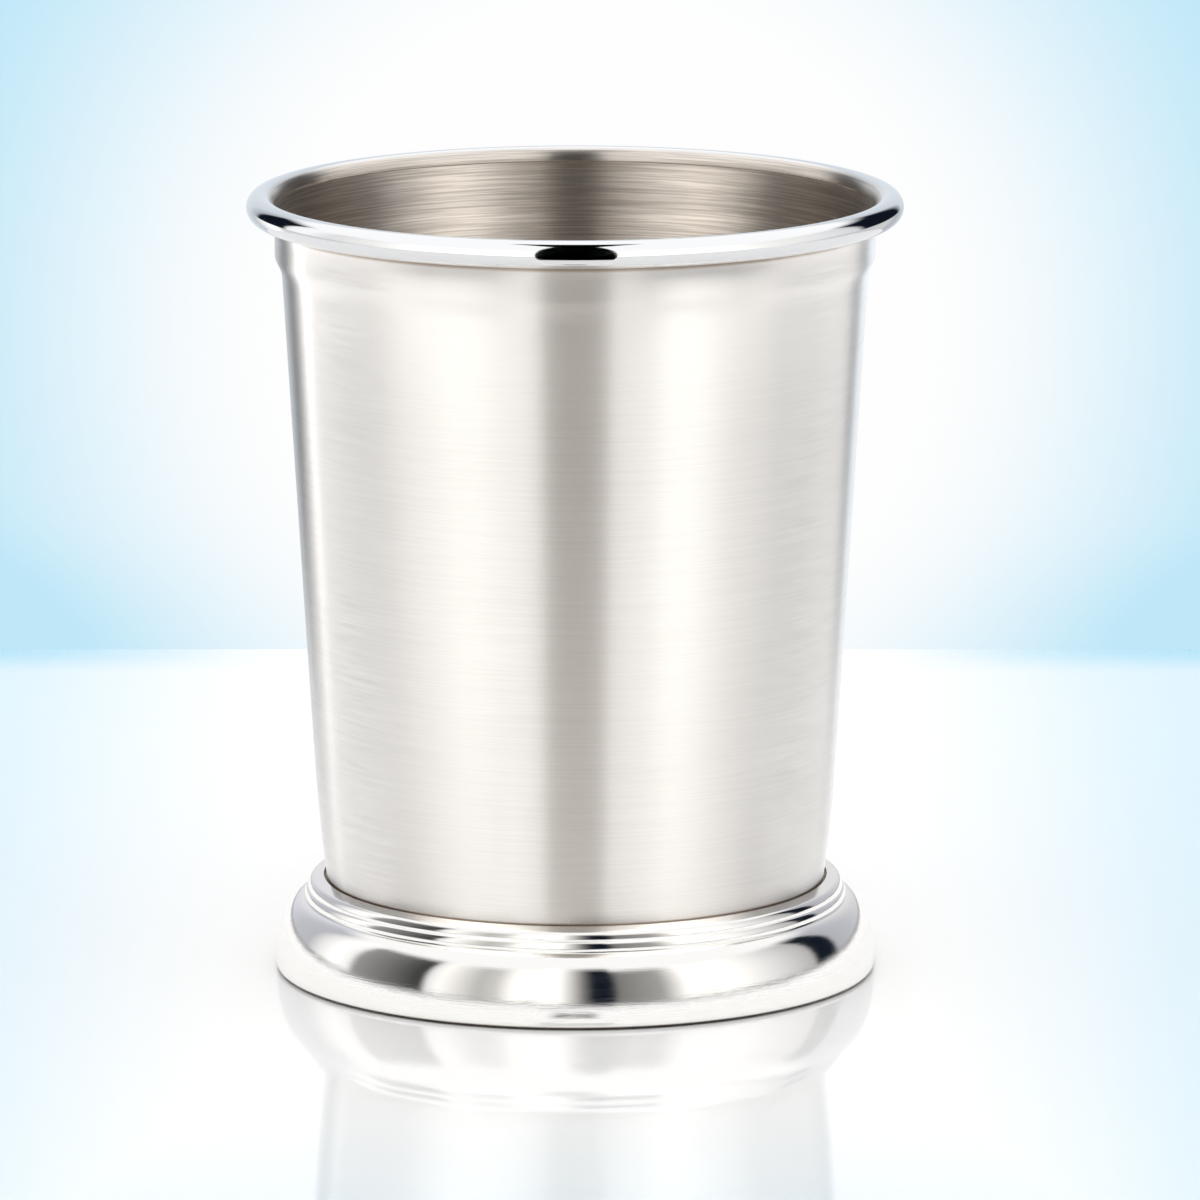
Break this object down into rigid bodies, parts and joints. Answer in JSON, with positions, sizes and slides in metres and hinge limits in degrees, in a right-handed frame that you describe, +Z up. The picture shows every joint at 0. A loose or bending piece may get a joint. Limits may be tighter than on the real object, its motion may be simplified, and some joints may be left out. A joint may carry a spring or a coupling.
{
  "type": "julep cup",
  "caption": "Tapered metal drinking cup with a round bead at the mouth, a stepped shoulder and a moulded, hollow foot.",
  "frame": {"origin": "centre of the foot's underside, on the surface that the cup stands on", "axes": "+Z up along the cup's axis, towards the mouth; the cup is the same all round, so +X and +Y are any two square directions"},
  "size_m": [0.09, 0.09, 0.1082],
  "materials": {
    "brushed_steel": "stainless steel, brushed round the axis inside and out",
    "polished_steel": "stainless steel, mirror polished",
    "polished_foot": "stainless steel, mirror polished, with fine turning lines",
    "filler": "silver, copper and zinc brazing filler, dull and a little browned",
    "satin_steel": "stainless steel, satin, with fine turning lines"
  },
  "bodies": {
    "root": {"cup_body": "brushed_steel", "rim_bead": "polished_steel", "rim_braze": "filler", "foot_ring": "polished_foot", "foot_braze": "filler", "base_plate": "satin_steel"}
  },
  "joints": []
}
